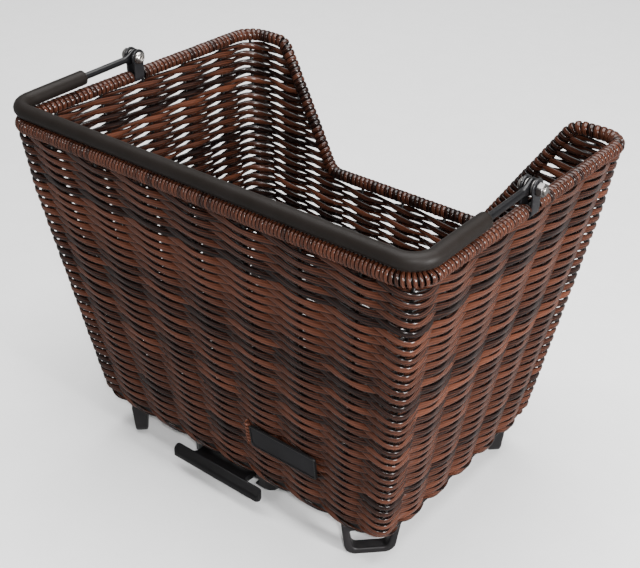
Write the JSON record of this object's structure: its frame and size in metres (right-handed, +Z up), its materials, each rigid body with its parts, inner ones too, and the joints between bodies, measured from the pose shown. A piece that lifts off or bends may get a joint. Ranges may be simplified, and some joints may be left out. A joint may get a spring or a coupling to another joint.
{
  "type": "woven bicycle basket",
  "caption": "Tapered woven basket on a wire frame, with a saddle cut-out, a folding bail handle with a soft grip, corner feet and a sliding quick-release adapter.",
  "frame": {"origin": "on the ground under the middle of the basket's overall box, with the basket standing on its four feet", "axes": "+Z up, +Y towards the saddle cut-out in the front wall, -Y towards the label plate and the pull handle, +X along the long side"},
  "size_m": [0.4332, 0.3024, 0.333],
  "materials": {
    "strand": "dark stained half-round cane with a satin sheen",
    "wrap": "reddish brown stained cane with a satin sheen",
    "wire": "black powder coat",
    "rod": "black semi-gloss coat",
    "grip": "charcoal foam with a soft skin",
    "foot_plastic": "dark grey moulded plastic",
    "adapter_plastic": "black moulded plastic",
    "screw_steel": "bright zinc-plated steel",
    "spring_steel": "drawn spring wire",
    "label": "bare dark grey plate with a black border"
  },
  "bodies": {
    "basket": {"wire_frame": "wire", "woven_wall": "strand", "woven_floor": "strand", "rear_rim_wrap": "wrap", "front_rim_wrap": "wrap", "foot_rear_left": "foot_plastic", "foot_rear_right": "foot_plastic", "foot_front_right": "foot_plastic", "foot_front_left": "foot_plastic", "foot_screw_rear_left": "screw_steel", "foot_screw_rear_right": "screw_steel", "foot_screw_front_right": "screw_steel", "foot_screw_front_left": "screw_steel", "adapter_housing": "adapter_plastic", "pull_spring": "spring_steel", "clamp_plate": "adapter_plastic", "adapter_screw_rear_left": "screw_steel", "adapter_screw_rear_right": "screw_steel", "adapter_screw_front_right": "screw_steel", "adapter_screw_front_left": "screw_steel", "bracket_left": "wire", "bracket_right": "wire", "pivot_bolt_left": "screw_steel", "pivot_bolt_right": "screw_steel", "pivot_nut_left": "screw_steel", "pivot_nut_right": "screw_steel", "pivot_washer_inner_left": "screw_steel", "pivot_washer_inner_right": "screw_steel", "pivot_washer_outer_left": "screw_steel", "pivot_washer_outer_right": "screw_steel", "label_plate": "label", "label_clip_left": "adapter_plastic", "label_clip_right": "adapter_plastic"},
    "bail": {"bail_rod": "rod", "bail_grip": "grip"},
    "pull": {"pull_handle": "adapter_plastic"}
  },
  "joints": [
    {"name": "bail_swing", "type": "hinge", "parent": "basket", "child": "bail", "pos_m": [0, -0.007, 0.3255], "axis": [-1, 0, 0], "range_deg": [0, 183]},
    {"name": "pull_slide", "type": "slide", "parent": "basket", "child": "pull", "axis": [0, -1, 0], "range_m": [0, 0.01], "stiffness_N_per_m": 400, "springref_m": -0.002, "deforming": ["pull_spring"]}
  ]
}
